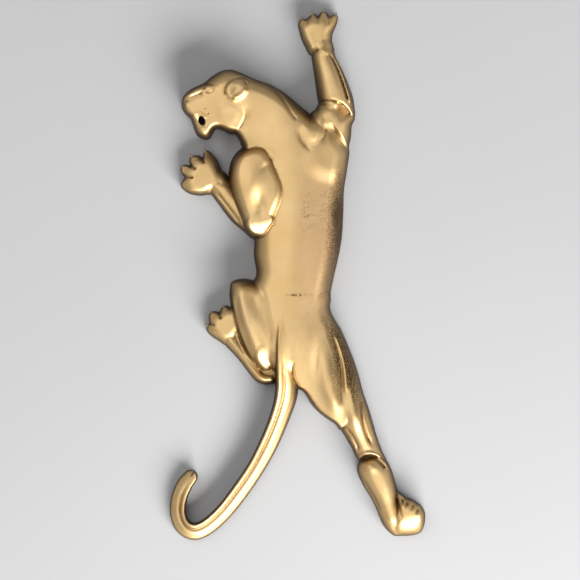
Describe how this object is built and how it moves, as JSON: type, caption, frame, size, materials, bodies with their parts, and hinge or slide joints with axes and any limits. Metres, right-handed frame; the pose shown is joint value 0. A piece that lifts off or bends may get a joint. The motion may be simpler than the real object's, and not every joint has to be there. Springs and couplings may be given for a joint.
{
  "type": "hood ornament",
  "caption": "Low-relief cast figure of a climbing big cat with a hooked tail, hollow behind, held to a sheet panel by threaded studs with seals, washers and nuts.",
  "frame": {"origin": "middle of the flat rib that crosses the casting's hollow back, in the plane that seats on the hood", "axes": "+Z out of the figure's front, away from the hood; +Y towards the raised forepaw; +X to the right seen from the front"},
  "size_m": [0.0806, 0.1639, 0.028],
  "materials": {
    "gold_plate": "satin",
    "zinc_steel": "zinc plated",
    "spring_steel": "oiled",
    "seal_rubber": "matt"
  },
  "bodies": {
    "root": {"figure_casting": "gold_plate", "stud_shoulder": "zinc_steel", "stud_left_thigh": "zinc_steel", "stud_right_thigh": "zinc_steel", "seal_ring_shoulder": "seal_rubber", "seal_ring_left_thigh": "seal_rubber", "seal_ring_right_thigh": "seal_rubber", "flat_washer_shoulder": "zinc_steel", "flat_washer_left_thigh": "zinc_steel", "flat_washer_right_thigh": "zinc_steel", "lock_washer_shoulder": "spring_steel", "lock_washer_left_thigh": "spring_steel", "lock_washer_right_thigh": "spring_steel", "hex_nut_shoulder": "zinc_steel", "hex_nut_left_thigh": "zinc_steel", "hex_nut_right_thigh": "zinc_steel"}
  },
  "joints": []
}
